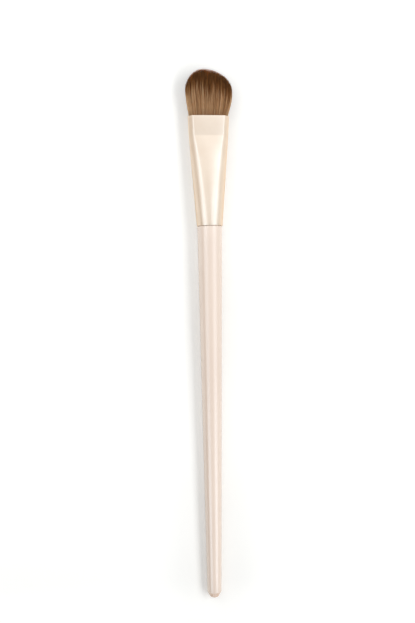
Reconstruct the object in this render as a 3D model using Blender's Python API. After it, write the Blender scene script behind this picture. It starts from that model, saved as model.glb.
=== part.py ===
# Flat makeup brush: a turned wooden handle, a thin metal ferrule pressed flat at its mouth,
# and a domed tuft of bristles, with the glue and the resin that hold them inside.
#
# Lengths are in metres and angles in radians. Each piece is modelled on the brush's own
# axis: y = 0 is the ferrule's tail, the tuft points to +Y and the handle to -Y. X is the
# wide way and Z the thin way. An empty then lays the brush down on z = 0, where it rests on
# the ferrule's tail and the handle's end, with the middle of its length at the origin.

import math

import bmesh
import bpy

# Handle, turned in one piece with the tenon that the ferrule goes over
HANDLE_LENGTH = 0.1197  # from the shoulder to the end of the nose
HANDLE_TOP_RADIUS = 0.0040
HANDLE_END_RADIUS = 0.00228  # at the crisp edge where the end begins
END_CHAMFER_LENGTH = 0.0012
END_CHAMFER_DROP = 0.00075
END_NOSE_LENGTH = 0.00075
SHOULDER_ROUND = 0.00025
TENON_LENGTH = 0.0115
TENON_CHAMFER = 0.0005
GROOVE_WIDTH = 0.0008
GROOVE_DEPTH = 0.00025
GROOVE_COUNT = 3

# Ferrule, round at its tail and pressed to two flats with lean sides at its mouth
FERRULE_LENGTH = 0.0351
FERRULE_WALL = 0.0003
FERRULE_STEP = 0.00012  # the tail stands this far proud of the handle
PAD_LENGTH = 0.0063  # from the crease to the mouth
PAD_THICKNESS = 0.0037
CREASE_WIDTH = 0.01275
MOUTH_WIDTH = 0.01335
CREASE_PANEL = 0.0046  # from the middle to the fold beside the flat
MOUTH_PANEL = 0.0050
LATE_BENDS = (0.0190, 0.0250)  # where the outline turns, between the tenon and the crease

# Glue on the tenon, and resin behind the roots of the tuft
GLUE_WALL = 0.0001
GLUE_SHORTFALL = 0.0015  # the glue ends this far behind the tenon's nose
RESIN_LENGTH = 0.0030
CLEARANCE = 0.0001  # between any two pieces

# Tuft: heights are above the mouth's rim
ROOT_LENGTH = 0.0100  # bonded roots inside the ferrule
ROOT_RECESS = 0.0001  # the roots' face lies this far inside the rim
TUFT_LENGTH = 0.0154
TUFT_EDGE_HEIGHT = 0.0083  # where the dome springs from the two sides
TUFT_BELLY_HEIGHT = 0.0082
TUFT_BELLY_WIDTH = 0.01535
TUFT_BELLY_THICKNESS = 0.0044
TUFT_LEAN = 0.0002  # the belly's middle lies this far towards +X
TUFT_PEAK_OFFSET = 0.0015  # the dome's top lies this far towards -X
TUFT_FACE_DROP = 0.0042  # the two faces end this far below the middle
TIP_UNEVENNESS = 0.0003
STRAND_PITCH = 0.00029
STRAND_THICKNESS = 0.00024
STRAND_BURIED = 0.0003  # of each strand, inside the roots
STRAND_BEND_HEIGHT = 0.0055

# Counts, powers and shares
SIDES = 24  # of a round section, with a flat on top, below and at each side
NOSE_STEPS = 5
SHOULDER_STEPS = 3
STRAND_SIDES = 3
DOME_POWER = 1.9
HALVINGS = 12
PANEL_POWER = 1.3  # the flat widens slowly near the tail
FOLD_POWER = 1.65  # of the sides at the crease: 1 is round, and more is leaner
CREASE_STEEPNESS = 1.9  # of the thickness at the crease, against an even taper
FOLD_SHARE = 0.4  # of a gap inside the ferrule, by which the flat narrows
ROW_SHARE = 0.866  # of the pitch, from one row of strands to the next
GOLDEN_SHARE = 0.618  # steps the strands' unevenness without a visible pattern
TIP_PINCH_SHARE = 0.45  # of the belly's thickness, lost at the tip
SIDE_PINCH_SHARE = 0.06  # of the belly's width, lost at the tip
UPPER_RING_SHARE = 0.75  # of the way from a strand's bend to its tip
STRAND_THICKNESS_SHARES = (0.85, 1.2, 0.8)  # at the root, the bend and the upper ring

TAIL_RADIUS = HANDLE_TOP_RADIUS + FERRULE_STEP
TAPER_LENGTH = FERRULE_LENGTH - PAD_LENGTH
GLUE_LENGTH = TENON_LENGTH - GLUE_SHORTFALL
END_START = HANDLE_LENGTH - END_CHAMFER_LENGTH - END_NOSE_LENGTH
ROOT_FACE = FERRULE_LENGTH - ROOT_RECESS
RESIN_FACE = ROOT_FACE - ROOT_LENGTH - CLEARANCE
STATIONS = (0.0, TENON_LENGTH, *LATE_BENDS, TAPER_LENGTH, FERRULE_LENGTH)
CORNER_SHARE = 1 / math.cos(math.pi / SIDES)  # of a flat's distance from the middle


def mix(a, b, share):
    return a + (b - a) * share


def clamp(value):
    return min(max(value, 0.0), 1.0)


def material(name, colour, roughness, metallic=0.0):
    made = bpy.data.materials.new(name)
    made.use_nodes = True
    shader = made.node_tree.nodes["Principled BSDF"]
    shader.inputs["Base Color"].default_value = (*colour, 1.0)
    shader.inputs["Roughness"].default_value = roughness
    shader.inputs["Metallic"].default_value = metallic
    return made


def ring(bm, y, radius):
    """A round section at y. Its flats touch the circle, so sizes across flats are true."""
    reach = radius * CORNER_SHARE
    corners = []
    for i in range(SIDES):
        angle = (i + 0.5) * math.tau / SIDES
        corners.append(bm.verts.new((reach * math.cos(angle), y, reach * math.sin(angle))))
    return corners


def skin(bm, rings, closed=False):
    """Faces from each ring to the next, and from the last back to the first if closed."""
    following = rings[1:] + rings[:1] if closed else rings[1:]
    for near, far in zip(rings, following):
        for i in range(len(near)):
            after = (i + 1) % len(near)
            bm.faces.new((near[i], near[after], far[after], far[i]))


def point(bm, corners, place):
    """Faces from a ring to one point."""
    tip = bm.verts.new(place)
    for i in range(len(corners)):
        bm.faces.new((corners[i], corners[(i + 1) % len(corners)], tip))


def finish(bm, name, surface, sharp_angle=math.radians(30)):
    """The object of that name, its faces pointing out and its round parts smooth."""
    bmesh.ops.recalc_face_normals(bm, faces=bm.faces)
    mesh = bpy.data.meshes.new(name)
    bm.to_mesh(mesh)
    bm.free()
    mesh.shade_smooth()
    mesh.set_sharp_from_angle(angle=sharp_angle)
    mesh.materials.append(surface)
    made = bpy.data.objects.new(name, mesh)
    bpy.context.scene.collection.objects.link(made)
    return made


# Ferrule

def sizes_at(y):
    """Half the width, half the thickness and half the flat's width, outside at y."""
    if y > TAPER_LENGTH:
        share = (y - TAPER_LENGTH) / PAD_LENGTH
        width = mix(CREASE_WIDTH, MOUTH_WIDTH, share)
        return width / 2, PAD_THICKNESS / 2, mix(CREASE_PANEL, MOUTH_PANEL, share)
    share = y / TAPER_LENGTH
    half_width = mix(TAIL_RADIUS, CREASE_WIDTH / 2, share)
    sink = share * (2 - CREASE_STEEPNESS + (CREASE_STEEPNESS - 1) * share)
    half_thickness = mix(TAIL_RADIUS, PAD_THICKNESS / 2, sink)
    return half_width, half_thickness, CREASE_PANEL * share**PANEL_POWER


def fold_power(y):
    return mix(1.0, FOLD_POWER, clamp(y / TAPER_LENGTH))


def station_places(y, inset):
    """(x, z) of the section's corners at a station, inset from the outside."""
    half_width, half_thickness, panel = sizes_at(y)
    half_width -= inset
    half_thickness -= inset
    panel -= FOLD_SHARE * inset * clamp(y / TAPER_LENGTH)
    power = fold_power(y)
    places = []
    for i in range(SIDES):
        angle = (i + 0.5) * math.tau / SIDES
        across = abs(math.cos(angle)) * CORNER_SHARE
        up = abs(math.sin(angle)) * CORNER_SHARE
        x = panel + (half_width - panel) * across**power
        z = half_thickness * up**power
        places.append((math.copysign(x, math.cos(angle)), math.copysign(z, math.sin(angle))))
    return places


def section(bm, y, inset=0.0):
    """A ring round the ferrule's outside at y, or inset from it, straight between stations."""
    before = max(station for station in STATIONS if station <= y)
    after = min(station for station in STATIONS if station >= y)
    share = (y - before) / (after - before) if after > before else 0.0
    corners = []
    for near, far in zip(station_places(before, inset), station_places(after, inset)):
        corners.append(bm.verts.new((mix(near[0], far[0], share), y, mix(near[1], far[1], share))))
    return corners


def make_ferrule(surface):
    bm = bmesh.new()
    outside = [section(bm, y) for y in STATIONS]
    inside = [section(bm, y, FERRULE_WALL) for y in reversed(STATIONS)]
    skin(bm, outside + inside, closed=True)
    return finish(bm, "ferrule", surface, math.radians(12))


def fill_bore(name, surface, start, end):
    """A block that fills the ferrule from start to end, less the clearance."""
    bm = bmesh.new()
    between = [station for station in STATIONS if start < station < end]
    rings = [section(bm, y, FERRULE_WALL + CLEARANCE) for y in (start, *between, end)]
    skin(bm, rings)
    bm.faces.new(rings[0])
    bm.faces.new(rings[-1])
    return finish(bm, name, surface)


# Handle and its glue

def tenon_radius(y):
    outside = mix(TAIL_RADIUS, sizes_at(TENON_LENGTH)[1], y / TENON_LENGTH)
    return outside - FERRULE_WALL - GLUE_WALL - 2 * CLEARANCE


def grooved_outline(start, end, gap=0.0):
    """(y, radius) along the tenon from start to end, at a gap outside it."""
    outline = [(start, tenon_radius(start) + gap)]
    for i in range(GROOVE_COUNT):
        middle = GLUE_LENGTH * (i + 1) / (GROOVE_COUNT + 1)
        near = middle - GROOVE_WIDTH / 2 + gap
        far = middle + GROOVE_WIDTH / 2 - gap
        bottom = tenon_radius(middle) - GROOVE_DEPTH + gap
        outline.append((near, tenon_radius(near) + gap))
        outline.append((near, bottom))
        outline.append((far, bottom))
        outline.append((far, tenon_radius(far) + gap))
    outline.append((end, tenon_radius(end) + gap))
    return outline


def make_handle(surface):
    nose_radius = HANDLE_END_RADIUS - END_CHAMFER_DROP
    outline = []
    for step in range(1, NOSE_STEPS + 1):
        angle = math.pi / 2 * step / NOSE_STEPS
        y = -HANDLE_LENGTH + END_NOSE_LENGTH * (1 - math.cos(angle))
        outline.append((y, nose_radius * math.sin(angle)))
    outline.append((-END_START, HANDLE_END_RADIUS))
    for step in range(SHOULDER_STEPS + 1):
        angle = math.pi / 2 * step / SHOULDER_STEPS
        y = -CLEARANCE - SHOULDER_ROUND * (1 - math.sin(angle))
        outline.append((y, HANDLE_TOP_RADIUS - SHOULDER_ROUND * (1 - math.cos(angle))))
    chamfer_start = TENON_LENGTH - TENON_CHAMFER
    tenon = grooved_outline(0.0, chamfer_start)
    outline.append((-CLEARANCE, tenon[0][1]))
    outline += tenon[1:]
    outline.append((TENON_LENGTH, tenon_radius(chamfer_start) - TENON_CHAMFER))

    bm = bmesh.new()
    rings = [ring(bm, y, radius) for y, radius in outline]
    skin(bm, rings)
    point(bm, rings[0], (0.0, -HANDLE_LENGTH, 0.0))
    bm.faces.new(rings[-1])
    return finish(bm, "handle", surface)


def make_tenon_glue(surface):
    """Sleeve of glue between the tenon, with its grooves, and the ferrule."""
    bm = bmesh.new()
    start = CLEARANCE
    outside = [section(bm, y, FERRULE_WALL + CLEARANCE) for y in (start, GLUE_LENGTH)]
    outline = grooved_outline(start, GLUE_LENGTH, CLEARANCE)
    inside = [ring(bm, y, radius) for y, radius in reversed(outline)]
    skin(bm, outside + inside, closed=True)
    return finish(bm, "tenon_glue", surface)


# Tuft

STRAND_RADIUS = STRAND_THICKNESS / math.sqrt(STRAND_SIDES)  # of a corner from the middle
ROOT_INSET = FERRULE_WALL + 2 * CLEARANCE + STRAND_RADIUS
ROOT_HALF_WIDTH = MOUTH_WIDTH / 2 - ROOT_INSET
ROOT_HALF_THICKNESS = PAD_THICKNESS / 2 - ROOT_INSET
ROOT_PANEL = MOUTH_PANEL - FOLD_SHARE * ROOT_INSET


def swell(height, mouth, belly, pinch_share):
    """Half the tuft's size at a height: it grows from mouth to belly, then draws in."""
    if height < TUFT_BELLY_HEIGHT:
        return mix(mouth, belly, math.sin(math.pi / 2 * height / TUFT_BELLY_HEIGHT))
    past = (height - TUFT_BELLY_HEIGHT) / (TUFT_LENGTH - TUFT_BELLY_HEIGHT)
    return belly * (1 - pinch_share * past**2)


def strand_place(across, through, height):
    """(x, z) at a height of the strand at these shares of the half width and thickness."""
    belly_x = TUFT_BELLY_WIDTH / 2 - STRAND_RADIUS
    belly_z = TUFT_BELLY_THICKNESS / 2 - STRAND_RADIUS
    x = across * swell(height, ROOT_HALF_WIDTH, belly_x, SIDE_PINCH_SHARE)
    z = through * swell(height, ROOT_HALF_THICKNESS, belly_z, TIP_PINCH_SHARE)
    return x + TUFT_LEAN * height / TUFT_BELLY_HEIGHT, z


def dome_height(x, through):
    """Height of the cut tips at x, and at a share of the way from the middle to a face."""
    from_peak = x + TUFT_PEAK_OFFSET
    side = math.copysign(TUFT_BELLY_WIDTH / 2, from_peak) + TUFT_LEAN + TUFT_PEAK_OFFSET
    rise = (1 - clamp(from_peak / side) ** DOME_POWER) ** (1 / DOME_POWER)
    face_drop = TUFT_FACE_DROP * (1 - math.sqrt(1 - through**2))
    return mix(TUFT_EDGE_HEIGHT, TUFT_LENGTH - face_drop, rise)


def strand_height(across, through):
    """Height at which the strand reaches the dome, found by halving."""
    low = 0.0
    high = TUFT_LENGTH
    for _ in range(HALVINGS):
        middle = (low + high) / 2
        if middle < dome_height(strand_place(across, through, middle)[0], through):
            low = middle
        else:
            high = middle
    return low


def strand_shares():
    """Places of the strands in even rows, as shares of the half width and thickness."""
    rows = int(ROOT_HALF_THICKNESS / (STRAND_PITCH * ROW_SHARE))
    shares = []
    for row in range(-rows, rows + 1):
        through = row / rows
        side = (1 - abs(through) ** (2 / FOLD_POWER)) ** (FOLD_POWER / 2)
        half_width = mix(ROOT_PANEL, ROOT_HALF_WIDTH, side)
        gaps = int(2 * half_width / STRAND_PITCH)
        for i in range(gaps + 1):
            across = mix(-half_width, half_width, i / gaps) / ROOT_HALF_WIDTH
            shares.append((across, through))
    return shares


def add_strand(bm, across, through, height):
    """One bristle: a thin tube from inside the roots, round the belly, to its tip."""
    upper = mix(STRAND_BEND_HEIGHT, height, UPPER_RING_SHARE)
    heights = (-ROOT_RECESS - STRAND_BURIED, STRAND_BEND_HEIGHT, upper)
    outward = math.copysign(math.pi / 2, through)
    rings = []
    for level, share in zip(heights, STRAND_THICKNESS_SHARES):
        x, z = strand_place(across, through, level)
        corners = []
        for i in range(STRAND_SIDES):
            angle = outward + math.tau * i / STRAND_SIDES
            corner_x = x + STRAND_RADIUS * share * math.cos(angle)
            corner_z = z + STRAND_RADIUS * share * math.sin(angle)
            corners.append(bm.verts.new((corner_x, FERRULE_LENGTH + level, corner_z)))
        rings.append(corners)
    skin(bm, rings)
    bm.faces.new(rings[0])
    x, z = strand_place(across, through, height)
    point(bm, rings[-1], (x, FERRULE_LENGTH + height, z))


def make_bristle_tuft(surface):
    """The bonded roots, with every strand joined to their face."""
    tuft = fill_bore("bristle_tuft", surface, ROOT_FACE - ROOT_LENGTH, ROOT_FACE)
    bm = bmesh.new()
    for index, (across, through) in enumerate(strand_shares()):
        shortened = TIP_UNEVENNESS * (index * GOLDEN_SHARE % 1)
        add_strand(bm, across, through, strand_height(across, through) - shortened)
    strands = finish(bm, "strands_to_join", surface)
    strands.hide_render = True
    strands.display_type = "WIRE"
    join = tuft.modifiers.new("join strands", "BOOLEAN")
    join.operation = "UNION"
    join.object = strands
    return [tuft, strands]


def lay_down(pieces):
    """Hangs the pieces on an empty that lays the brush on z = 0."""
    slope = math.atan2(TAIL_RADIUS - HANDLE_END_RADIUS, END_START)
    middle = (FERRULE_LENGTH + TUFT_LENGTH - HANDLE_LENGTH) / 2
    axis = bpy.data.objects.new("brush_axis", None)
    axis.location = (0.0, -middle * math.cos(slope), TAIL_RADIUS * math.cos(slope))
    axis.rotation_euler = (slope, 0.0, 0.0)
    bpy.context.scene.collection.objects.link(axis)
    for piece in pieces:
        piece.parent = axis


def build():
    for old in list(bpy.data.objects):
        bpy.data.objects.remove(old)
    lacquer = material("rose_beige_lacquer", (0.78, 0.62, 0.53), 0.28)
    champagne = material("champagne_aluminium", (0.88, 0.70, 0.52), 0.30, 1.0)
    glue = material("milky_glue", (0.82, 0.78, 0.66), 0.45)
    resin = material("amber_resin", (0.75, 0.62, 0.40), 0.25)
    hair = material("brown_bristle", (0.16, 0.075, 0.035), 0.55)
    pieces = [
        make_handle(lacquer),
        make_ferrule(champagne),
        make_tenon_glue(glue),
        fill_bore("root_resin", resin, RESIN_FACE - RESIN_LENGTH, RESIN_FACE),
    ]
    lay_down(pieces + make_bristle_tuft(hair))


build()
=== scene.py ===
# A flat makeup brush lying on a white table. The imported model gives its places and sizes; this
# script gives it its finish: a lacquered handle, a champagne ferrule and a tuft of fine bristles.
import math
import random
import bmesh
import bpy
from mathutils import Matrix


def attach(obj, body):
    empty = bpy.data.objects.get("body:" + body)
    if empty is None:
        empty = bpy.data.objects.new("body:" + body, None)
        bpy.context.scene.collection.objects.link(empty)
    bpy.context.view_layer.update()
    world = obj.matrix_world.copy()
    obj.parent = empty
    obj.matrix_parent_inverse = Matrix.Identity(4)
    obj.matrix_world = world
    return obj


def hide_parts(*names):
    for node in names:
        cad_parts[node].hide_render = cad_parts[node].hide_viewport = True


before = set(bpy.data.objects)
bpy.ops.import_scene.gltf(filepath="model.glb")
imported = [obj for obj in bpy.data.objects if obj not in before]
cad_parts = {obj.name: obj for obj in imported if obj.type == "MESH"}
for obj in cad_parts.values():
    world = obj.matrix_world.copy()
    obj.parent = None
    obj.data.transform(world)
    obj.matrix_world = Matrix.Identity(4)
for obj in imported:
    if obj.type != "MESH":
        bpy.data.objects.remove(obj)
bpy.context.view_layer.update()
print("frame loaded:", ", ".join(sorted(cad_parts)))

# Every piece is modelled along Y with the ferrule's tail at y = 0, then laid down. Metres.
brush = {
    "handleLength": 0.1197,  # shoulder to the end of the nose
    "handleRadius": 0.0040,
    "endRadius": 0.00228,  # at the crisp edge where the end begins
    "endLength": 0.00195,  # crisp edge to the end of the nose
    "ferruleLength": 0.0351,
    "padLength": 0.0063,  # crease to mouth
    "tailRadius": 0.00412,
    "padThickness": 0.0037,
    "creaseWidth": 0.01275,
    "mouthWidth": 0.01335,
    "wall": 0.0003,
    "tuftLength": 0.0154,
    "samePlace": 0.000001,  # what counts as the same place along the brush
    "weld": 0.0000005,  # corners closer than this become one
}
straight = brush["handleLength"] - brush["endLength"]
taper = brush["ferruleLength"] - brush["padLength"]
slope = math.atan2(brush["tailRadius"] - brush["endRadius"], straight)
middle = (brush["ferruleLength"] + brush["tuftLength"] - brush["handleLength"]) / 2
tailPlace = (0.0, -middle * math.cos(slope), brush["tailRadius"] * math.cos(slope))


def mix(a, b, share):
    return a + (b - a) * share


def clamp(value, low=0.0, high=1.0):
    return min(max(value, low), high)


def valueAt(stops, place):  # on straight lines through (place, value) stops
    for (low, start), (high, end) in zip(stops, stops[1:]):
        if place <= high:
            return mix(start, end, clamp((place - low) / (high - low)))
    return stops[-1][1]


def tint(red, green, blue):  # a colour as a screen shows it, 0 to 255, made linear
    return tuple(pow(channel / 255, 2.2) for channel in (red, green, blue)) + (1.0,)


def grey(level):
    return (level, level, level, 1.0)


def pickOnly(piece):
    bpy.ops.object.select_all(action="DESELECT")
    piece.select_set(True)
    bpy.context.view_layer.objects.active = piece


def pickRing(piece, y):  # in edit mode, the edges that run round the piece at y
    bpy.ops.mesh.select_mode(type="EDGE")
    bpy.ops.mesh.select_all(action="DESELECT")
    shape = bmesh.from_edit_mesh(piece.data)
    for edge in shape.edges:
        edge.select_set(all(abs(corner.co.y - y) < brush["samePlace"] for corner in edge.verts))
    bmesh.update_edit_mesh(piece.data)


def startRing(name, sides, y, radius):
    bpy.ops.object.select_all(action="DESELECT")
    bpy.ops.mesh.primitive_circle_add(
        vertices=sides, radius=radius, location=(0, y, 0), rotation=(math.pi / 2, 0, 0)
    )
    piece = bpy.context.active_object
    piece.name = name
    bpy.ops.object.transform_apply(location=True, rotation=True, scale=True)
    bpy.ops.object.mode_set(mode="EDIT")
    bpy.ops.mesh.select_all(action="SELECT")
    return piece


def extrudeBy(distance):  # the selected ring, along the brush
    bpy.ops.mesh.extrude_region_move(TRANSFORM_OT_translate={"value": (0, distance, 0)})


def pullRing(y, nextY, share):  # extrudes the ring at y to nextY and sizes it
    extrudeBy(nextY - y)
    bpy.ops.transform.resize(value=(share, 1, share), center_override=(0, nextY, 0))


def turnPiece(name, outline, sides):  # a round piece from (y, radius) points, open at both ends
    y, radius = outline[0]
    piece = startRing(name, sides, y, radius)
    for nextY, nextRadius in outline[1:]:
        pullRing(y, nextY, nextRadius / radius)
        y, radius = nextY, nextRadius
    return piece


def turnOutwards():
    bpy.ops.mesh.select_all(action="SELECT")
    bpy.ops.mesh.normals_make_consistent(inside=False)
    bpy.ops.object.mode_set(mode="OBJECT")


def closePiece(sharpAngle):  # in degrees
    bpy.ops.mesh.select_all(action="SELECT")
    bpy.ops.mesh.remove_doubles(threshold=brush["weld"])
    bpy.ops.mesh.fill_holes(sides=0)
    turnOutwards()
    bpy.ops.object.shade_smooth_by_angle(angle=math.radians(sharpAngle))


def layDown(piece):  # on its ferrule's tail and its handle's end, with its place in its mesh
    pickOnly(piece)
    piece.rotation_euler = (slope, 0, 0)
    piece.location = tailPlace
    bpy.ops.object.transform_apply(location=True, rotation=True, scale=True)


def addNode(tree, kind, **values):
    node = tree.nodes.new(kind)
    for name, value in values.items():
        if name in node.inputs:
            node.inputs[name].default_value = value
        else:
            setattr(node, name, value)
    return node


def feed(tree, value, socket):  # by a link from another socket, or with a fixed value
    if isinstance(value, bpy.types.NodeSocket):
        tree.links.new(value, socket)
    else:
        socket.default_value = value


def startMaterial(name):
    made = bpy.data.materials.new(name)
    made.use_nodes = True
    return made, made.node_tree, made.node_tree.nodes["Principled BSDF"]


def placeOn(tree, output="Object"):
    return addNode(tree, "ShaderNodeTexCoord").outputs[output]


def axesOf(tree, vector):  # its X, Y and Z
    split = addNode(tree, "ShaderNodeSeparateXYZ")
    tree.links.new(vector, split.inputs["Vector"])
    return split.outputs


def noiseOn(tree, place, scale, detail, stretch=(1, 1, 1)):  # the scale is per metre
    spread = addNode(tree, "ShaderNodeMapping", Scale=stretch)
    grain = addNode(tree, "ShaderNodeTexNoise", Scale=scale, Detail=detail)
    tree.links.new(place, spread.inputs["Vector"])
    tree.links.new(spread.outputs["Vector"], grain.inputs["Vector"])
    return grain.outputs["Fac"]


def rampOf(tree, factor, stops, smooth=False):  # stops are (place, colour)
    ramp = addNode(tree, "ShaderNodeValToRGB")
    ramp.color_ramp.interpolation = "EASE" if smooth else "LINEAR"
    elements = ramp.color_ramp.elements
    while len(elements) < len(stops):
        elements.new(0.5)
    for element, (place, colour) in zip(elements, stops):
        element.position = place
        element.color = colour
    tree.links.new(factor, ramp.inputs["Fac"])
    return ramp.outputs["Color"]


def mottleOf(tree, noise, deep, pale):  # drifts between two colours, where most noise lies
    return rampOf(tree, noise, [(0.3, deep), (0.7, pale)])


def spanOf(tree, value, low, high, start=0.0, end=1.0, soft=False):  # from start to end
    span = addNode(tree, "ShaderNodeMapRange")
    span.interpolation_type = "SMOOTHSTEP" if soft else "LINEAR"
    for name, number in (("From Min", start), ("From Max", end), ("To Min", low), ("To Max", high)):
        span.inputs[name].default_value = number
    tree.links.new(value, span.inputs["Value"])
    return span.outputs["Result"]


def mathsOf(tree, operation, *terms):
    node = addNode(tree, "ShaderNodeMath", operation=operation)
    for term, socket in zip(terms, node.inputs):
        feed(tree, term, socket)
    return node.outputs["Value"]


def blendOf(tree, factor, first, second, how="MIX"):  # of two colours
    blend = addNode(tree, "ShaderNodeMix", data_type="RGBA", blend_type=how)
    feed(tree, factor, blend.inputs["Factor"])
    feed(tree, first, blend.inputs[6])
    feed(tree, second, blend.inputs[7])
    return blend.outputs[2]


def scaledBy(tree, colour, factor):
    scaled = addNode(tree, "ShaderNodeVectorMath", operation="SCALE")
    feed(tree, colour, scaled.inputs[0])
    feed(tree, factor, scaled.inputs["Scale"])
    return scaled.outputs["Vector"]


def bumpFrom(tree, height, shader, strength, distance):
    bump = addNode(tree, "ShaderNodeBump", Strength=strength, Distance=distance)
    tree.links.new(height, bump.inputs["Height"])
    tree.links.new(bump.outputs["Normal"], shader.inputs["Normal"])


# Camera: above the brush, which lay rolled a little to the right on its round handle when it was
# photographed. Here its flats are level, so the camera and the room lean to the left instead.

camera = {
    "distance": 0.286,
    "lens": 51.5,
    "sensor": 36.0,
    "clipStart": 0.01,
    "aim": (-0.0011, 0.0072, 0.0040),
    "lean": -5.5,  # degrees to the side of straight up
    "roll": -0.84,  # degrees; the tuft leans left in the picture
}

lean, roll = math.radians(camera["lean"]), math.radians(camera["roll"])
aimX, aimY, aimZ = camera["aim"]
beside = camera["distance"] * math.sin(lean)
bpy.ops.object.camera_add(
    location=(
        aimX + beside * math.cos(roll),
        aimY + beside * math.sin(roll),
        aimZ + camera["distance"] * math.cos(lean),
    ),
    rotation=(0, lean, roll),
)
overhead = bpy.context.active_object
overhead.name = "overheadCamera"
overhead.data.sensor_fit = "VERTICAL"
overhead.data.sensor_height = camera["sensor"]
overhead.data.lens = camera["lens"]
overhead.data.clip_start = camera["clipStart"]
bpy.context.scene.camera = overhead
bpy.context.scene.view_settings.view_transform = "Standard"
print("camera set")

# Light: a large soft lamp on the right, a weaker one on the left and a white room

studio = {
    "lamps": {  # name: (degrees from straight up, distance, along, width, length, brightness)
        "keySoftbox": (36.0, 0.60, -0.12, 0.22, 0.70, 3.88),
        "fillSoftbox": (-42.0, 0.18, 0.11, 0.22, 0.22, 0.84),
    },
    "room": 0.46,  # what the white room gives matt surfaces
    "softest": 1.65,  # the brightest that gloss sees of it, where 1 is white
    "gloss": [  # degrees to the side of the camera, and the share of that seen there
        (-90, (0.36, 0.30, 0.235)),
        (-64, (0.36, 0.305, 0.235)),
        (-52, (0.79, 0.87, 0.955)),
        (-30, (0.79, 0.87, 0.955)),
        (-17, (0.55, 0.545, 0.525)),
        (-5, (0.478, 0.465, 0.445)),
        (3, (0.478, 0.465, 0.445)),
        (18, (0.53, 0.525, 0.515)),
        (33, (0.78, 0.865, 0.955)),
        (56, (0.78, 0.865, 0.955)),
        (70, (0.49, 0.50, 0.48)),
        (90, (0.48, 0.45, 0.41)),
    ],
    "along": [  # how much of it gloss sees, by how far it looks along the brush
        (-0.90, 1.10),
        (-0.72, 0.90),
        (-0.55, 0.30),
        (-0.42, 1.15),
        (-0.27, 1.55),
        (-0.12, 0.95),
        (0.01, 0.91),
        (0.06, 0.95),
        (0.12, 1.06),
        (0.18, 1.22),
        (0.32, 1.16),
        (0.60, 1.32),
    ],
    "contrast": [(-0.32, 1.8), (-0.05, 1.0)],  # a power on it, higher towards the handle's end
    "leftFade": [(-22, -36), (0.20, 0.33)],  # the left box fades between these degrees and places
    "leftLoss": 0.24,  # by this share
    "table": (0.905, 0.91, 0.895),
    "tableSize": 3.0,
    "tableRoughness": 0.5,
    "paper": (900.0, 3.0),  # the grain's scale and detail
    "paperShade": 0.985,
    "glow": [  # places along the brush, and how much the table shines of itself there: painted light that sets how deep the brush's shadow looks along it
        (-0.090, 0.25),
        (-0.079, 0.18),
        (-0.062, 0.20),
        (-0.033, 0.235),
        (0.005, 0.215),
        (0.040, 0.25),
        (0.055, 0.24),
        (0.083, 0.25),
    ],
    "glowReach": 0.1,  # how far those places reach from the middle
    "farWhite": (0.12, 0.40),  # between these distances the table fades into the white room
    "asideGlow": (0.007, 0.020),  # and between these to either side the camera sees more glow
    "asideMore": 0.07,
    "glowInGloss": (1.0, 0.86, 0.72),  # painted light: as gloss sees it, warmed by light from the metal that the table lies beside
    "glowOnLeft": (0.006, 0.25),  # painted shade: past this distance to the left, away from the key lamp, gloss sees this share of it
    "glowAtHandle": (-0.005, 0.030, 0.3),  # painted shade: between these places it falls to this beside the handle, as gloss sees it
}


def sideShare(degrees):  # how far to the right of the leaning camera, 0 to 1
    return clamp(0.5 + (degrees + camera["lean"]) / 180)


for name, (sideways, away, along, width, length, level) in studio["lamps"].items():
    turn = math.radians(sideways)
    bpy.ops.object.light_add(
        type="AREA",
        location=(away * math.sin(turn), along, away * math.cos(turn)),
        rotation=(0, turn, 0),
    )
    lamp = bpy.context.active_object
    lamp.name = name
    lamp.data.shape = "RECTANGLE"
    lamp.data.size = width
    lamp.data.size_y = length
    lamp.data.energy = level * math.pi * width * length  # level is how bright its face is
    lamp.visible_glossy = False  # gloss sees the softboxes in the room below

room = bpy.data.worlds.new("whiteRoom")
room.use_nodes = True
bpy.context.scene.world = room
tree = room.node_tree
path = addNode(tree, "ShaderNodeLightPath").outputs
towards = axesOf(tree, placeOn(tree, "Generated"))
sideways = mathsOf(tree, "ARCTAN2", towards["X"], towards["Z"])
turned = spanOf(tree, sideways, 0.0, 1.0, -math.pi / 2, math.pi / 2)
boxes = rampOf(
    tree,
    turned,
    [(sideShare(degrees), (*shade, 1)) for degrees, shade in studio["gloss"]],
    smooth=True,
)
most = max(gain for _, gain in studio["along"])
along = rampOf(
    tree,
    spanOf(tree, towards["Y"], 0.0, 1.0, -1.0, 1.0),
    [((1 + share) / 2, grey(gain / most)) for share, gain in studio["along"]],
)
(inner, outer), (fadeStart, fadeEnd) = studio["leftFade"]
onLeft = spanOf(tree, turned, 0.0, 1.0, sideShare(inner), sideShare(outer))
pastEnd = spanOf(tree, towards["Y"], 0.0, studio["leftLoss"], fadeStart, fadeEnd)
left = mathsOf(tree, "SUBTRACT", 1.0, mathsOf(tree, "MULTIPLY", onLeft, pastEnd))
gain = mathsOf(tree, "MULTIPLY", mathsOf(tree, "MULTIPLY", along, most), left)
(farPlace, farPower), (nearPlace, nearPower) = studio["contrast"]
crisper = addNode(tree, "ShaderNodeGamma")
tree.links.new(boxes, crisper.inputs["Color"])
tree.links.new(
    spanOf(tree, towards["Y"], farPower, nearPower, farPlace, nearPlace), crisper.inputs["Gamma"]
)
lifted = scaledBy(tree, crisper.outputs["Color"], gain)
inGloss = blendOf(  # matt surfaces see an even white room
    tree, path["Is Glossy Ray"], grey(studio["room"] / studio["softest"]), lifted
)
seen = mathsOf(tree, "MAXIMUM", path["Is Camera Ray"], path["Is Transmission Ray"])
inView = blendOf(tree, seen, inGloss, grey(1 / studio["softest"]))  # and the camera plain white
tree.links.new(inView, tree.nodes["Background"].inputs["Color"])
tree.nodes["Background"].inputs["Strength"].default_value = studio["softest"]

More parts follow.
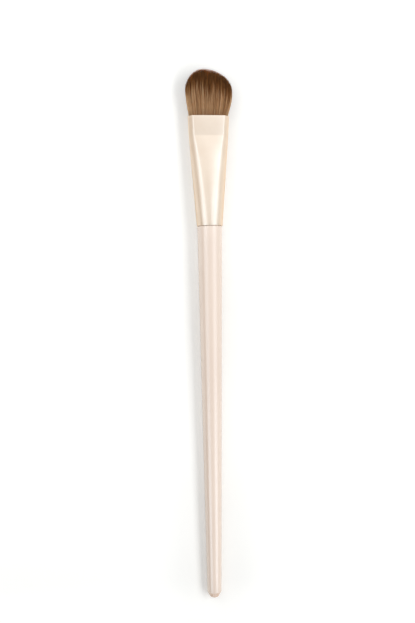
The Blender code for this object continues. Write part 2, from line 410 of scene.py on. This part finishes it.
bpy.ops.object.select_all(action="DESELECT")
bpy.ops.mesh.primitive_plane_add(size=studio["tableSize"])
table = bpy.context.active_object
table.name = "tableTop"
paper, tree, shader = startMaterial("whiteTable")
tree.nodes.remove(shader)
path = addNode(tree, "ShaderNodeLightPath").outputs
place = placeOn(tree)
across, lengthways, _ = axesOf(tree, place)
matt = addNode(tree, "ShaderNodeBsdfDiffuse", Roughness=studio["tableRoughness"])
fine = tuple(studio["paperShade"] * channel for channel in studio["table"])
shade = mottleOf(
    tree, noiseOn(tree, place, *studio["paper"]), (*fine, 1), (*studio["table"], 1)
)
tree.links.new(shade, matt.inputs["Color"])

# What the table shines of itself keeps it white in view, with the brush's shadow on it
leftReach, leftShare = studio["glowOnLeft"]
handleStart, handleEnd, handleShare = studio["glowAtHandle"]
# painted shade and light: what gloss sees of the table's glow is dimmer on the left and beside the
# handle, and warm
paintedGlossShade = mathsOf(
    tree,
    "MINIMUM",
    spanOf(tree, across, leftShare, 1.0, -leftReach, leftReach),
    spanOf(tree, lengthways, handleShare, 1.0, handleStart, handleEnd),
)
warmed = blendOf(
    tree, path["Is Glossy Ray"], grey(1.0), scaledBy(tree, studio["glowInGloss"], paintedGlossShade)
)
# painted light: the glow changes along the brush, setting how deep the brush's shadow looks
reach = studio["glowReach"]
level = rampOf(
    tree,
    spanOf(tree, lengthways, 0.0, 1.0, -reach, reach),
    [(0.5 + y / (2 * reach), grey(shine)) for y, shine in studio["glow"]],
    smooth=True,
)
seen = mathsOf(tree, "MAXIMUM", path["Is Camera Ray"], path["Is Glossy Ray"])
strength = mathsOf(tree, "MULTIPLY", seen, level)
distance = addNode(tree, "ShaderNodeVectorMath", operation="LENGTH")
tree.links.new(place, distance.inputs[0])
far = spanOf(tree, distance.outputs["Value"], 0.0, 1.0, *studio["farWhite"], soft=True)
aside = mathsOf(tree, "ABSOLUTE", across)
beyond = spanOf(tree, aside, 0.0, studio["asideMore"], *studio["asideGlow"], soft=True)
paler = mathsOf(tree, "ADD", far, beyond)
glow = addNode(tree, "ShaderNodeEmission")
tree.links.new(warmed, glow.inputs["Color"])
tree.links.new(
    mathsOf(tree, "MULTIPLY_ADD", paler, path["Is Camera Ray"], strength), glow.inputs["Strength"]
)
both = addNode(tree, "ShaderNodeAddShader")
tree.links.new(matt.outputs["BSDF"], both.inputs[0])
tree.links.new(glow.outputs["Emission"], both.inputs[1])
tree.links.new(both.outputs["Shader"], tree.nodes["Material Output"].inputs["Surface"])
table.data.materials.append(paper)
print("table and lamps set")

# The ferrule's outline, which the handle's tenon and the roots of the tuft follow inside it

pressed = {
    "creasePanel": 0.0046,  # from the middle to the fold beside the flat
    "mouthPanel": 0.0050,
    "panelPower": 1.3,
    "foldPower": 1.65,  # of the sides: 1 is round, and more is leaner
    "steepness": 1.9,  # of the thickness at the crease, against an even taper
}


def ferruleSizes(y):  # half the width, the thickness and the flat, outside at y
    half = brush["padThickness"] / 2
    if y > taper:
        share = (y - taper) / brush["padLength"]
        width = mix(brush["creaseWidth"], brush["mouthWidth"], share)
        return width / 2, half, mix(pressed["creasePanel"], pressed["mouthPanel"], share)
    share = y / taper
    width = mix(brush["tailRadius"], brush["creaseWidth"] / 2, share)
    sink = share * (2 - pressed["steepness"] + (pressed["steepness"] - 1) * share)
    thickness = mix(brush["tailRadius"], half, sink)
    return width, thickness, pressed["creasePanel"] * share ** pressed["panelPower"]


# Handle: turned in one piece with its grooved tenon, then sprayed with gloss lacquer

handle = {
    "sides": 128,
    "tenonLength": 0.0115,
    "tenonChamfer": 0.0005,
    "tenonLoose": 0.0003,  # glue and clearance between tenon and bore
    "glueLength": 0.0100,
    "grooves": 3,
    "grooveWidth": 0.0008,
    "grooveDepth": 0.00025,
    "shoulderGap": 0.0001,
    "shoulderRound": 0.00025,
    "noseLength": 0.00075,
    "chamferDrop": 0.00075,
    "edgeBevel": 0.00007,
    "steps": (5, 24, 10),  # round the shoulder, down the length and round the nose
    "bevelSteps": 3,
    "sharpAngle": 40,
    "lacquer": (250, 231, 217),
    "lacquerDeep": (244, 223, 208),
    "cloud": (90.0, 3.0, (1, 0.25, 1)),  # noise: scale, detail and stretch
    "haze": (700.0, 4.0),
    "roughness": (0.11, 0.13),
    "peel": (1500.0, 2.0),
    "peelBump": (0.25, 0.00001),  # strength and depth
    "glossIor": 2.1,
    "glossTint": (0.97, 0.89, 0.78),  # the gloss is warmed by the pigment under it
    "clearIor": 1.5,  # over it lies a soft clear coat
    "clearRoughness": 0.37,
    "nose": (235, 203, 181),  # painted shade where the nose faces away from the lamps, past the edge, over this length
    "noseFade": 0.0003,
}


def tenonRadius(y):
    atEnd = ferruleSizes(handle["tenonLength"])[1]
    outside = mix(brush["tailRadius"], atEnd, y / handle["tenonLength"])
    return outside - brush["wall"] - handle["tenonLoose"]


def handleOutline():
    shoulderSteps, lengthSteps, noseSteps = handle["steps"]
    chamferStart = handle["tenonLength"] - handle["tenonChamfer"]
    outline = [(handle["tenonLength"], tenonRadius(chamferStart) - handle["tenonChamfer"])]
    outline.append((chamferStart, tenonRadius(chamferStart)))
    for number in range(handle["grooves"], 0, -1):
        centre = handle["glueLength"] * number / (handle["grooves"] + 1)
        bottom = tenonRadius(centre) - handle["grooveDepth"]
        for y in (centre + handle["grooveWidth"] / 2, centre - handle["grooveWidth"] / 2):
            wall = [(y, tenonRadius(y)), (y, bottom)]
            outline += wall if y > centre else wall[::-1]
    top = -handle["shoulderGap"]
    outline.append((top, tenonRadius(0)))
    for step in range(shoulderSteps + 1):
        angle = math.pi / 2 * step / shoulderSteps
        y = top - handle["shoulderRound"] * (1 - math.cos(angle))
        inset = handle["shoulderRound"] * (1 - math.sin(angle))
        outline.append((y, brush["handleRadius"] - inset))
    startY, startRadius = outline[-1]
    for step in range(1, lengthSteps + 1):
        share = step / lengthSteps
        radius = mix(startRadius, brush["endRadius"], share)
        outline.append((mix(startY, -straight, share), radius))
    noseRadius = brush["endRadius"] - handle["chamferDrop"]
    for step in range(noseSteps):
        angle = math.pi / 2 * (1 - step / noseSteps)
        y = -brush["handleLength"] + handle["noseLength"] * (1 - math.cos(angle))
        outline.append((y, noseRadius * math.sin(angle)))
    return outline


def makeHandle():
    outline = handleOutline()
    piece = turnPiece("handleTurned", outline, handle["sides"])
    extrudeBy(-brush["handleLength"] - outline[-1][0])
    bpy.ops.mesh.merge(type="CENTER")  # the pole of the nose
    pickRing(piece, -straight)
    bpy.ops.mesh.bevel(offset=handle["edgeBevel"], segments=handle["bevelSteps"])
    closePiece(handle["sharpAngle"])
    return piece


def makeLacquer():
    made, tree, shader = startMaterial("roseBeigeLacquer")
    place = placeOn(tree)
    cloud = noiseOn(tree, place, *handle["cloud"])
    tone = mottleOf(tree, cloud, tint(*handle["lacquerDeep"]), tint(*handle["lacquer"]))
    # painted shade: past the crisp edge the lacquer turns to the darker nose colour, where the nose
    # faces away from the lamps
    edge = tailPlace[1] - straight * math.cos(slope)
    body = spanOf(tree, axesOf(tree, place)["Y"], 0.0, 1.0, edge - handle["noseFade"], edge)
    tree.links.new(blendOf(tree, body, tint(*handle["nose"]), tone), shader.inputs["Base Color"])
    haze = noiseOn(tree, place, *handle["haze"])
    tree.links.new(spanOf(tree, haze, *handle["roughness"]), shader.inputs["Roughness"])
    bumpFrom(tree, noiseOn(tree, place, *handle["peel"]), shader, *handle["peelBump"])
    shader.inputs["IOR"].default_value = handle["glossIor"]
    shader.inputs["Specular Tint"].default_value = (*handle["glossTint"], 1)
    shader.inputs["Coat Weight"].default_value = 1.0
    shader.inputs["Coat IOR"].default_value = handle["clearIor"]
    shader.inputs["Coat Roughness"].default_value = handle["clearRoughness"]
    return made


handlePiece = makeHandle()
layDown(handlePiece)
handlePiece.data.materials.append(makeLacquer())
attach(handlePiece, "root")
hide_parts("handle")
print("handle made")

# Ferrule: a round tube pressed flat at its mouth, with folds that run back from the pad

ferrule = {
    "sides": 144,
    "flatSides": 6,  # of a quarter's, on half of the flat
    "flatStart": 4.0,  # degrees round the tail that become half of the flat
    "flatEase": 0.6,  # how much closer together they are beside the fold
    "crowns": [  # share of the way to the crease, and how far the flat falls to its folds
        (0.0, 0.0),
        (0.77, 0.00030),
        (0.94, 0.00018),
        (1.0, 0.00015),
        (1.22, 0.00012),
    ],
    "crownPowers": (2.0, 3.0),  # how late it falls, at the tail and at the crease
    "crownLate": 5,
    "foldLate": 1.5,
    "padCrown": 0.00004,  # and the pad this much along
    "tailCuts": 26,
    "creaseCuts": 8,
    "padCuts": 8,
    "lateStart": 0.0245,
    "rimBevel": 0.00010,
    "rimSteps": 4,
    "rimAngle": 60,
    "creaseBevel": 0.00012,
    "creaseSteps": 3,
    "sharpAngle": 35,
    "metal": (248, 232, 215),
    "metalDeep": (244, 226, 208),
    "cloud": (160.0, 3.0),  # noise: scale, detail and stretch
    "edgeTint": (1.0, 0.86, 0.68),
    "haze": (900.0, 4.0, (1, 0.3, 1)),
    "roughness": (0.36, 0.42),
    "grain": (9000.0, 3.0, (1, 0.08, 1)),  # fine and drawn along the tube
    "grainBump": (0.20, 0.000004),  # strength and depth
}


def quarterPlaces(y):  # (x, z) from one side up to the middle of the flat
    halfWidth, half, panel = ferruleSizes(y)
    share = clamp(y / taper)
    if y >= taper:
        half -= ferrule["padCrown"] * (2 * (y - taper) / brush["padLength"] - 1) ** 2
    else:
        half -= ferrule["padCrown"] * share**2
    crown = valueAt(ferrule["crowns"], y / taper)
    bow = mix(*ferrule["crownPowers"], share ** ferrule["crownLate"])
    power = mix(1.0, pressed["foldPower"], share ** ferrule["foldLate"])
    quarter = ferrule["sides"] // 4
    flat = ferrule["flatSides"]
    start = math.radians(90 - ferrule["flatStart"])
    edgeX = panel + (halfWidth - panel) * math.cos(start) ** power
    edgeZ = (half - crown) * math.sin(start) ** power
    places = []
    for i in range(quarter):
        if i + 0.5 < quarter - flat:
            turn = start * (i + 0.5) / (quarter - flat)
            x = panel + (halfWidth - panel) * math.cos(turn) ** power
            z = (half - crown) * math.sin(turn) ** power
        else:
            inward = (quarter - i - 0.5) / flat
            inward *= 1 + ferrule["flatEase"] - ferrule["flatEase"] * inward
            x = edgeX * inward
            z = half - (half - edgeZ) * inward**bow
        places.append((x, z))
    return places


def ringPlaces(y):  # (x, z) of the corners round the ferrule at y, in turning order
    quarter = quarterPlaces(y)
    upper = quarter + [(-x, z) for x, z in quarter[::-1]]
    return upper + [(-x, -z) for x, z in upper]


def turnedBy(corner):
    return math.atan2(corner.co.z, corner.co.x) % math.tau


def pressRing(piece, y, places):  # sets the selected ring, whose places are in turning order
    shape = bmesh.from_edit_mesh(piece.data)
    ring = sorted((corner for corner in shape.verts if corner.select), key=turnedBy)
    for corner, (x, z) in zip(ring, places):
        corner.co = (x, y, z)
    bmesh.update_edit_mesh(piece.data)


def evenCuts(start, end, count):
    return [mix(start, end, (i + 1) / count) for i in range(count)]


def makeFerrule():
    piece = startRing("ferrulePressed", ferrule["sides"], 0, brush["tailRadius"])
    bpy.ops.transform.rotate(  # corners either side of the middle of each flat
        value=math.pi / ferrule["sides"], orient_axis="Y", center_override=(0, 0, 0)
    )
    pressRing(piece, 0, ringPlaces(0.0))
    cuts = evenCuts(0.0, ferrule["lateStart"], ferrule["tailCuts"])
    cuts += evenCuts(ferrule["lateStart"], taper, ferrule["creaseCuts"])
    cuts += evenCuts(taper, brush["ferruleLength"], ferrule["padCuts"])
    y = 0.0
    for nextY in cuts:
        extrudeBy(nextY - y)
        y = nextY
        pressRing(piece, y, ringPlaces(y))
    pickRing(piece, taper)
    bpy.ops.mesh.bevel(offset=ferrule["creaseBevel"], segments=ferrule["creaseSteps"])
    turnOutwards()
    pickOnly(piece)
    wall = piece.modifiers.new("wall", "SOLIDIFY")
    wall.thickness = brush["wall"]
    wall.offset = -1
    wall.use_even_offset = True
    bpy.ops.object.modifier_apply(modifier="wall")
    rim = piece.modifiers.new("rim", "BEVEL")
    rim.width = ferrule["rimBevel"]
    rim.segments = ferrule["rimSteps"]
    rim.limit_method = "ANGLE"
    rim.angle_limit = math.radians(ferrule["rimAngle"])
    bpy.ops.object.modifier_apply(modifier="rim")
    bpy.ops.object.shade_smooth_by_angle(angle=math.radians(ferrule["sharpAngle"]))
    return piece


def makeChampagne():
    made, tree, shader = startMaterial("satinChampagne")
    place = placeOn(tree)
    cloud = noiseOn(tree, place, *ferrule["cloud"])
    tone = mottleOf(tree, cloud, tint(*ferrule["metalDeep"]), tint(*ferrule["metal"]))
    tree.links.new(tone, shader.inputs["Base Color"])
    haze = noiseOn(tree, place, *ferrule["haze"])
    tree.links.new(spanOf(tree, haze, *ferrule["roughness"]), shader.inputs["Roughness"])
    bumpFrom(tree, noiseOn(tree, place, *ferrule["grain"]), shader, *ferrule["grainBump"])
    shader.inputs["Metallic"].default_value = 1.0
    shader.inputs["Specular Tint"].default_value = (*ferrule["edgeTint"], 1)
    return made


ferrulePiece = makeFerrule()
layDown(ferrulePiece)
ferrulePiece.data.materials.append(makeChampagne())
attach(ferrulePiece, "root")
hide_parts("ferrule")
print("ferrule made")

# Glue and resin: hidden in the ferrule, so they keep their solids and get a finish only

bond = {
    "tenon_glue": {
        "name": "milkyGlue",
        "pale": (234, 226, 205),
        "deep": (214, 202, 172),
        "roughness": (0.42, 0.56),
        "bubbleBump": (0.35, 0.00004),  # strength and depth
    },
    "root_resin": {
        "name": "amberResin",
        "pale": (214, 176, 116),
        "deep": (184, 140, 82),
        "roughness": (0.16, 0.28),
        "bubbleBump": (0.25, 0.00004),
    },
    "cloud": (420.0, 4.0),  # noise: scale and detail
    "haze": (1300.0, 3.0),
    "bubbles": 2600.0,
}


def makeBond(finish):  # cured: clouded, with small bubbles
    made, tree, shader = startMaterial(finish["name"])
    place = placeOn(tree)
    cloud = noiseOn(tree, place, *bond["cloud"])
    tone = mottleOf(tree, cloud, tint(*finish["deep"]), tint(*finish["pale"]))
    tree.links.new(tone, shader.inputs["Base Color"])
    haze = noiseOn(tree, place, *bond["haze"])
    tree.links.new(spanOf(tree, haze, *finish["roughness"]), shader.inputs["Roughness"])
    bubbles = addNode(tree, "ShaderNodeTexVoronoi", Scale=bond["bubbles"])
    tree.links.new(place, bubbles.inputs["Vector"])
    bumpFrom(tree, bubbles.outputs["Distance"], shader, *finish["bubbleBump"])
    return made


for node in ("tenon_glue", "root_resin"):
    cured = makeBond(bond[node])
    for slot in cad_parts[node].material_slots:
        slot.material = cured
print("glue and resin finished")

# Tuft: one bristle modelled once and laid thousands of times, fanning out of the mouth

tuft = {
    "seed": 11,
    "pitch": 0.000102,
    "rowShare": 0.866,  # of the pitch, from one row of roots to the next
    "rootShift": 0.4,  # how far a root strays from its place, as a share of it
    "bristleRadius": 0.000048,
    "radiusShares": (0.85, 1.1),
    "rootDepth": 0.0008,
    "rootClear": 0.00006,  # between the wall and the outermost bristles
    "panelClear": 0.4,
    "edgeHeight": 0.0083,  # where the dome springs from the two sides
    "bellyHeight": 0.0082,
    "bellyWidth": 0.01535,
    "bellyThickness": 0.0044,
    "bellyPowers": (2.6, 2.2),  # of its section: 2 is an ellipse, and more is fuller
    "lean": 0.0002,
    "lateLean": 0.00015,  # the waist stands this much further to the right
    "peakOffset": 0.0015,
    "faceDrop": 0.0042,
    "domePower": 1.9,
    "tipPinch": 0.45,
    "sidePinch": 0.06,
    "unevenness": 0.00022,
    "lockPitch": 0.00040,  # bristles gather in locks about this wide
    "lockShift": 0.35,
    "wispPitch": 0.00019,  # and take their tone partly from finer wisps
    "toneShares": (0.38, 0.36, 0.26),  # of the lock, the wisp and the bristle itself
    "gather": (0.05, 0.32),
    "gatherLate": 1.6,
    "dips": [  # across from the middle, and where the dark dip begins there
        (-0.0074, 0.0066),
        (-0.0056, 0.0076),
        (-0.0045, 0.0094),
        (-0.0026, 0.0095),
        (-0.0006, 0.0079),
        (0.0019, 0.0085),
        (0.0042, 0.0079),
        (0.0060, 0.0063),
        (0.0074, 0.0062),
    ],
    "dipWander": 0.0010,
    "dipShares": (0.6, 0.9),  # how much of it the lock and the wisp give
    "dipOwn": (0.0008, 0.0004),  # and what each bristle adds
    "deepDip": 0.0034,  # and this share of the locks is dark this much further down
    "deepShare": 0.17,
    "sunlitEdge": (0.90, 0.90),  # past this share of the width the bristles take this tone
    "thinEdge": 0.60,  # share of the thickness whose tips let light through
    "tipMark": 0.2,  # where the tips' colour stands on the ramp in the thickest part
    "neckMark": (0.08, 2),  # and just before the tips: so much more, and so many times
    # painted light: the tips blend to this tint, for the light that passes through them
    "tipGlowTint": (226, 124, 36),
    "tipLight": [(0.02, 1.0), (0.22, 0.0)],
    "rootShade": (0.0024, 0.72),  # painted shade of the rim: up to this height the hair darkens to this share at the rim
    "sway": 0.00004,
    "swayFrom": 0.004,
    "swayWaves": (700, 600, 1.7),
    "levels": (0.0, 0.14, 0.32, 0.52, 0.70, 0.84, 0.94),
    "thickness": (1.0, 1.0, 1.0, 1.0, 0.92, 0.75, 0.5),
    "neck": 0.9,  # past this share of a bristle its tip begins
    "reach": 0.0240,  # length that the colours along a bristle are spread over
    "rampEnds": (0.002, 0.998),
    "toneSpread": 0.002,  # round each bristle
    "tones": [
        (0.0, (138, 94, 58)),
        (0.5, (200, 154, 112)),
        (0.85, (236, 197, 154)),
        (1.0, (242, 184, 124)),
    ],
    "dye": [(0.42, (0.31, 0.21, 0.11)), (0.50, (0.52, 0.38, 0.24)), (0.61, (1.0, 1.0, 1.0))],
    "dyeNoise": (37.0, 2.0),  # scale and detail
    "dyeShift": 0.03,
    "roughness": 0.45,
    "specular": 0.15,
}
wallClear = brush["wall"] + tuft["rootClear"] + tuft["bristleRadius"]
rootHalf = brush["padThickness"] / 2 - wallClear
rootWide = brush["mouthWidth"] / 2 - wallClear
rootPanel = pressed["mouthPanel"] - tuft["panelClear"] * wallClear


def swell(height, mouth, belly, pinch):  # grows from mouth to belly, then draws in
    if height < tuft["bellyHeight"]:
        return mix(mouth, belly, math.sin(math.pi / 2 * clamp(height / tuft["bellyHeight"])))
    past = (height - tuft["bellyHeight"]) / (brush["tuftLength"] - tuft["bellyHeight"])
    return belly * (1 - pinch * past**2)


def faceAt(across, height):  # half thickness of the tuft at this share of its width
    x = abs(across) * rootWide
    past = clamp((x - rootPanel) / (rootWide - rootPanel))
    atMouth = rootHalf * (1 - past ** (2 / pressed["foldPower"])) ** (pressed["foldPower"] / 2)
    inner, outer = tuft["bellyPowers"]
    atBelly = tuft["bellyThickness"] / 2 * (1 - abs(across) ** inner) ** (1 / outer)
    return swell(height, atMouth, atBelly, tuft["tipPinch"])


def bristlePlace(across, through, height):
    belly = tuft["bellyWidth"] / 2 - tuft["bristleRadius"]
    x = across * swell(height, rootWide, belly, tuft["sidePinch"])
    rise = height / tuft["bellyHeight"]
    x += tuft["lean"] * rise + tuft["lateLean"] * math.sin(math.pi * min(rise, 1))
    return x, through * faceAt(across, height)


def domeHeight(x, through):
    fromPeak = x + tuft["peakOffset"]
    side = math.copysign(tuft["bellyWidth"] / 2, fromPeak) + tuft["lean"] + tuft["peakOffset"]
    rise = (1 - clamp(fromPeak / side) ** tuft["domePower"]) ** (1 / tuft["domePower"])
    drop = tuft["faceDrop"] * (1 - math.sqrt(1 - min(through**2, 1)))
    return mix(tuft["edgeHeight"], brush["tuftLength"] - drop, rise)


def tipHeight(across, through):  # where the bristle meets the dome, found by halving
    low, high = 0.0, brush["tuftLength"]
    for _ in range(12):  # down to a few thousandths of a millimetre
        half = (low + high) / 2
        if half < domeHeight(bristlePlace(across, through, half)[0], through):
            low = half
        else:
            high = half
    return low


def rootPlaces(rng):  # even rows over the mouth, each place shifted a little
    places = []
    shift = tuft["rootShift"]
    rowGap = tuft["pitch"] * tuft["rowShare"]
    rows = int(rootHalf / rowGap)
    steps = int(rootWide / tuft["pitch"])
    for row in range(-rows, rows + 1):
        z = rootHalf * row / rows
        for step in range(-steps, steps + 1):
            column = step + 0.5 * (row % 2) + rng.uniform(-shift, shift)
            across = clamp(column * tuft["pitch"] / rootWide, -1, 1)
            limit = faceAt(across, 0.0)
            shifted = z + rng.uniform(-shift, shift) * rowGap
            if limit > 0 and abs(shifted) <= limit:
                places.append((across, shifted / limit))
    return places


def modelBristle():  # a thin three-sided tube with a closed tip, upright from 0 to 1
    piece = startRing("bristleToCopy", 3, 0, 1.0)
    levels, thickness = tuft["levels"], tuft["thickness"]
    for low, high, near, far in zip(levels, levels[1:], thickness, thickness[1:]):
        pullRing(low, high, far / near)
    extrudeBy(1 - levels[-1])
    bpy.ops.mesh.merge(type="CENTER")
    turnOutwards()
    return piece


def startLock(column, row, pitch):  # its place, how far it gathers, its tone and its dip
    rng = random.Random(column * 97 + row * 13 + tuft["seed"])  # the same lock each time
    shift = tuft["lockShift"]
    return (
        (column + rng.uniform(-shift, shift)) * pitch,
        (row + rng.uniform(-shift, shift)) * pitch,
        rng.uniform(*tuft["gather"]),
        rng.random(),
        tuft["dipWander"] * rng.gauss(0, 1) - tuft["deepDip"] * (rng.random() < tuft["deepShare"]),
    )


def lockOf(x, z, locks, pitch):  # the lock that this tip belongs to, of those about a pitch wide
    column, row = round(x / pitch), round(z / pitch)
    best = None
    for c in (column - 1, column, column + 1):
        for r in (row - 1, row, row + 1):
            if (c, r, pitch) not in locks:
                locks[(c, r, pitch)] = startLock(c, r, pitch)
            lock = locks[(c, r, pitch)]
            away = (lock[0] - x) ** 2 + (lock[1] - z) ** 2
            if best is None or away < best[0]:
                best = (away, lock)
    return best[1]


def layBristles(name, master, places, rng, locks):
    corners = [tuple(v.co) for v in master.data.vertices]
    sides = [tuple(p.vertices) for p in master.data.polygons]
    ofLock, ofWisp, ofOwn = tuft["toneShares"]
    lockDip, wispDip = tuft["dipShares"]
    edgeStart, edgeTone = tuft["sunlitEdge"]
    waveX, waveZ, phaseShare = tuft["swayWaves"]
    verts, faces, marks = [], [], []
    for across, through in places:
        height = tipHeight(across, through) - rng.random() ** 2 * tuft["unevenness"]
        tipX, tipZ = bristlePlace(across, through, height)
        lockX, lockZ, gather, lockTone, wander = lockOf(tipX, tipZ, locks, tuft["lockPitch"])
        wisp = lockOf(tipX, tipZ, locks, tuft["wispPitch"])
        phase, spin = rng.uniform(0, math.tau), rng.uniform(0, math.tau)
        tone = clamp(ofLock * lockTone + ofWisp * wisp[3] + ofOwn * rng.random())
        tone = mix(tone, edgeTone, clamp((abs(across) - edgeStart) / (1 - edgeStart)))
        width = tuft["bristleRadius"] * rng.uniform(*tuft["radiusShares"])
        dip = valueAt(tuft["dips"], tipX) + lockDip * wander + wispDip * wisp[4]
        dip += rng.gauss(*tuft["dipOwn"])
        atTip = tuft["tipMark"] * clamp(abs(through) / tuft["thinEdge"])
        atNeck = tuft["neckMark"][0] + tuft["neckMark"][1] * atTip
        first = len(verts)
        rings = {}
        for share in sorted({corner[1] for corner in corners}):
            level = mix(-tuft["rootDepth"], height, share)
            x, z = bristlePlace(across, through, max(level, 0.0))
            pull = gather * clamp(level / height) ** tuft["gatherLate"]
            bend = tuft["sway"] * clamp(level / tuft["swayFrom"])
            x += (lockX - tipX) * pull + bend * math.sin(phase + level * waveX)
            z += (lockZ - tipZ) * pull + bend * math.cos(phase * phaseShare + level * waveZ)
            rings[share] = (x, level, z)
        for cx, share, cz in corners:
            x, level, z = rings[share]
            turnedX = cx * math.cos(spin) - cz * math.sin(spin)
            turnedZ = cx * math.sin(spin) + cz * math.cos(spin)
            y = brush["ferruleLength"] + level
            verts.append((x + turnedX * width, y, z + turnedZ * width))
            along = clamp(0.5 + (dip - level) / tuft["reach"], *tuft["rampEnds"])
            if share > tuft["neck"]:
                along = min(along, atTip if share == 1 else atNeck)
            marks.append((tone + cx * tuft["toneSpread"], along))
        faces += [tuple(first + i for i in side) for side in sides]
    mesh = bpy.data.meshes.new(name)
    mesh.from_pydata(verts, [], faces)
    layer = mesh.uv_layers.new(name="OFBake")
    flat = []
    for loop in mesh.loops:
        flat.extend(marks[loop.vertex_index])
    layer.data.foreach_set("uv", flat)
    mesh.shade_smooth()
    piece = bpy.data.objects.new(name, mesh)
    bpy.context.scene.collection.objects.link(piece)
    return piece


def makeHair():
    made, tree, shader = startMaterial("dippedBrownHair")
    marks = addNode(tree, "ShaderNodeUVMap", uv_map="OFBake")
    tone, along, _ = axesOf(tree, marks.outputs["UV"])
    scale, detail = tuft["dyeNoise"]
    wander = addNode(
        tree, "ShaderNodeTexNoise", noise_dimensions="1D", Scale=scale, Detail=detail
    )
    tree.links.new(tone, wander.inputs["W"])
    shift = spanOf(tree, wander.outputs["Fac"], -tuft["dyeShift"], tuft["dyeShift"])
    paleHair = rampOf(tree, tone, [(place, tint(*colour)) for place, colour in tuft["tones"]])
    dye = rampOf(
        tree,
        mathsOf(tree, "ADD", along, shift),
        [(place, (*colour, 1)) for place, colour in tuft["dye"]],
        smooth=True,
    )
    dyed = blendOf(tree, 1.0, paleHair, dye, how="MULTIPLY")
    # painted light: the tips blend towards the tip tint, for light passing through them
    thin = rampOf(tree, along, [(place, grey(level)) for place, level in tuft["tipLight"]])
    lit = blendOf(tree, thin, dyed, tint(*tuft["tipGlowTint"]))
    # painted shade: the roots darken towards the rim, where the rim shades them
    rim = tailPlace[1] + brush["ferruleLength"] * math.cos(slope)
    reach, least = tuft["rootShade"]
    paintedRimShade = spanOf(tree, axesOf(tree, placeOn(tree))["Y"], least, 1.0, rim, rim + reach)
    tree.links.new(scaledBy(tree, lit, paintedRimShade), shader.inputs["Base Color"])
    shader.inputs["Roughness"].default_value = tuft["roughness"]
    shader.inputs["Specular IOR Level"].default_value = tuft["specular"]
    return made


# The bonded roots in the ferrule and the tuft's dense heart, which show between bristles

heart = {
    "sides": 64,
    "fill": [  # height over the rim, and the share of the tuft's size filled there
        (-0.0100, 0.90),
        (-0.0063, 0.90),
        (-0.0002, 0.90),
        (0.0012, 0.84),
        (0.0030, 0.80),
        (0.0050, 0.76),
        (0.0070, 0.70),
        (0.0085, 0.58),
        (0.0098, 0.36),
        (0.0106, 0.08),
    ],
    "sideRound": 3,  # how soon it is at its full thickness from either side
    "sharpAngle": 60,
}


def heartPlaces(level, share):  # (x, z) of its corners at this height, in turning order
    halfWidth = ferruleSizes(brush["ferruleLength"] + min(level, 0.0))[0]
    above = max(level, 0.0)
    places = []
    for i in range(heart["sides"]):
        angle = math.tau * (i + 0.5) / heart["sides"]
        across = math.cos(angle) * share
        x = bristlePlace(across, 0.0, above)[0] * (halfWidth / (brush["mouthWidth"] / 2))
        full = min(1, abs(math.sin(angle)) * heart["sideRound"])
        z = faceAt(across, above) * share * full
        places.append((x, math.copysign(z, math.sin(angle))))
    return places


def makeHeart():
    y = heart["fill"][0][0]
    piece = startRing("tuftHeart", heart["sides"], y, 1.0)
    for level, share in heart["fill"]:
        if level > y:
            extrudeBy(level - y)
        y = level
        pressRing(piece, y, heartPlaces(level, share))
    bpy.ops.mesh.select_all(action="SELECT")
    bpy.ops.transform.translate(value=(0, brush["ferruleLength"], 0))
    closePiece(heart["sharpAngle"])
    return piece


rng = random.Random(tuft["seed"])
master = modelBristle()
places = rootPlaces(rng)
locks = {}
upper = [place for place in places if place[1] >= 0]
lower = [place for place in places if place[1] < 0]
hair = makeHair()
tuftPieces = [
    layBristles("bristlesUpper", master, upper, rng, locks),
    layBristles("bristlesLower", master, lower, rng, locks),
]
bpy.data.objects.remove(master)
tuftPieces.append(makeHeart())
for piece in tuftPieces:
    layDown(piece)
    piece.data.materials.append(hair)
    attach(piece, "root")
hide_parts("bristle_tuft")
print("tuft made of", len(places), "bristles")
